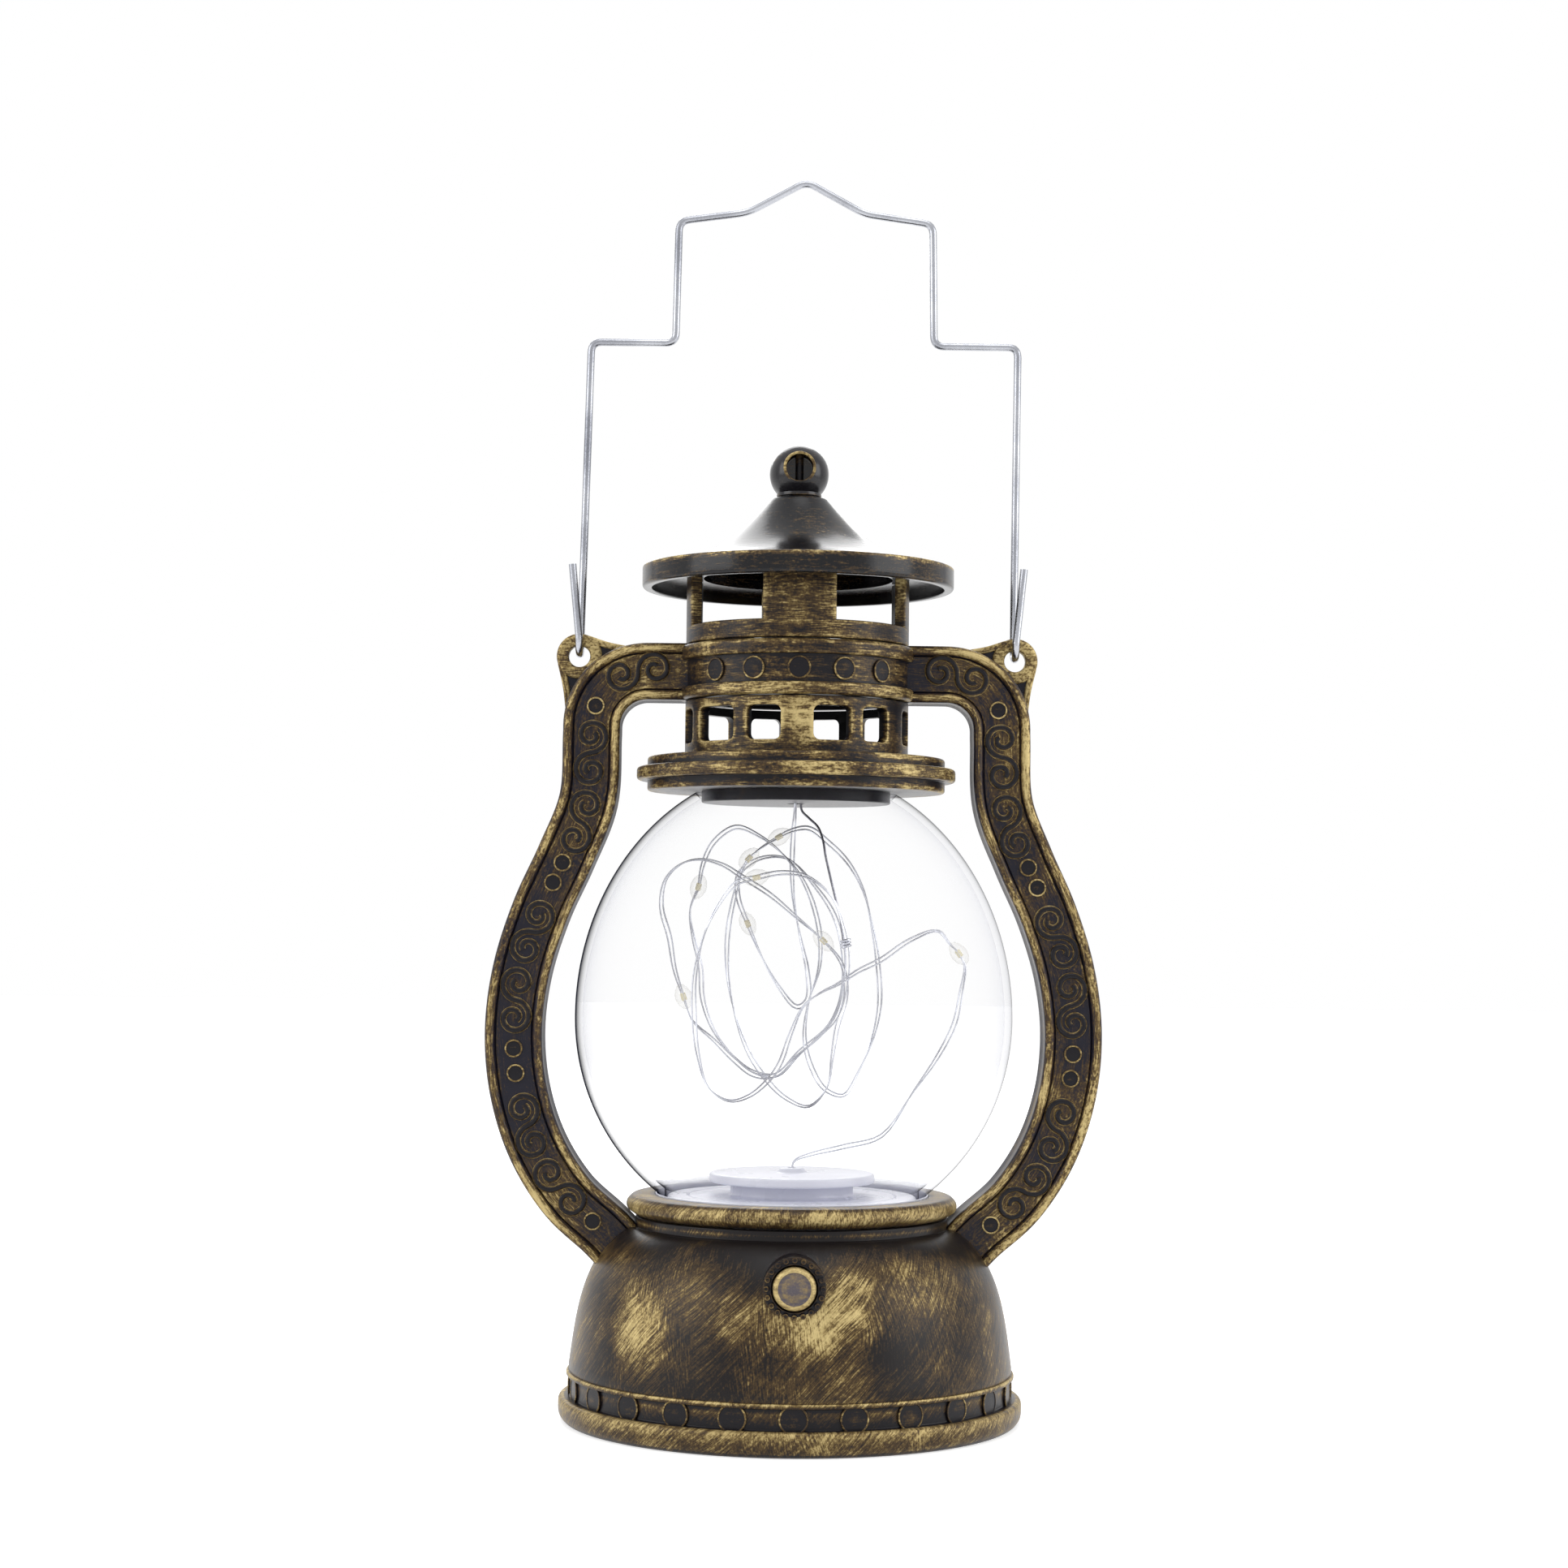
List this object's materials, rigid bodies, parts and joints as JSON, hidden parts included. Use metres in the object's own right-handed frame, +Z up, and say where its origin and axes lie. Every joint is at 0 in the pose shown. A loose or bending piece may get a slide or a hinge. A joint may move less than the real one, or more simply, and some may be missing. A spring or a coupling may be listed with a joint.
{
  "type": "lantern",
  "caption": "Battery lantern in the old kerosene-lamp shape: bronze base, clear globe with a string of tiny lamps, side arms, vented chimney, cone roof and stepped wire bail",
  "frame": {"origin": "Centre of the foot ring's underside, on the surface that the lantern stands on.", "axes": "+Z up, the front with the push button looks along -Y, the two arms stand out along X."},
  "size_m": [0.1202, 0.0902, 0.2452],
  "materials": {
    "bronze_plastic": "black moulding dry-brushed with bronze and gold",
    "dark_bronze_plastic": "black moulding with a thin brushing of bronze",
    "gold_plastic": "moulding brushed with gold",
    "black_plastic": "plain black moulding",
    "white_plastic": "smooth white moulding",
    "clear_plastic": "clear and polished",
    "lamp_drop": "clear resin drop over a tiny lamp",
    "silver_wire": "bright enamelled wire",
    "bail_wire": "zinc-plated wire",
    "spring_steel": "nickel-plated",
    "zinc_steel": "zinc-plated",
    "battery_sleeve": "printed sleeve, plain green",
    "board_laminate": "green circuit board"
  },
  "bodies": {
    "lantern_body": {"base_shell": "bronze_plastic", "base_plate": "black_plastic", "base_screw_1": "zinc_steel", "base_screw_2": "zinc_steel", "base_screw_3": "zinc_steel", "base_screw_4": "zinc_steel", "contact_spring_1": "spring_steel", "contact_spring_2": "spring_steel", "contact_spring_3": "spring_steel", "contact_plate_1": "spring_steel", "contact_plate_2": "spring_steel", "contact_plate_3": "spring_steel", "battery_1": "battery_sleeve", "battery_2": "battery_sleeve", "battery_3": "battery_sleeve", "circuit_board": "board_laminate", "push_switch": "black_plastic", "button_collar": "dark_bronze_plastic", "globe_seat_ring": "gold_plastic", "globe": "clear_plastic", "lamp_disc": "white_plastic", "globe_cap": "bronze_plastic", "vent_gallery": "bronze_plastic", "collar_band": "bronze_plastic", "upper_chimney": "bronze_plastic", "roof": "dark_bronze_plastic", "finial": "dark_bronze_plastic", "left_arm": "bronze_plastic", "right_arm": "bronze_plastic", "fairy_wire": "silver_wire", "tie_wire": "silver_wire", "led_1": "lamp_drop", "led_2": "lamp_drop", "led_3": "lamp_drop", "led_4": "lamp_drop", "led_5": "lamp_drop", "led_6": "lamp_drop", "led_7": "lamp_drop", "led_8": "lamp_drop"},
    "bail": {"bail": "bail_wire"},
    "button": {"push_button": "gold_plastic", "switch_plunger": "white_plastic"},
    "door": {"battery_door": "black_plastic"}
  },
  "joints": [
    {"name": "bail_swing", "type": "hinge", "parent": "lantern_body", "child": "bail", "pos_m": [0, 0, 0.15207], "axis": [1, 0, 0], "range_deg": [-115, 115]},
    {"name": "button_press", "type": "slide", "parent": "lantern_body", "child": "button", "axis": [0, 1, 0], "range_m": [0, 0.0015], "stiffness_N_per_m": 400},
    {"name": "door_swing", "type": "hinge", "parent": "lantern_body", "child": "door", "pos_m": [0, 0.01865, 0.0016], "axis": [1, 0, 0], "range_deg": [0, 90]}
  ]
}
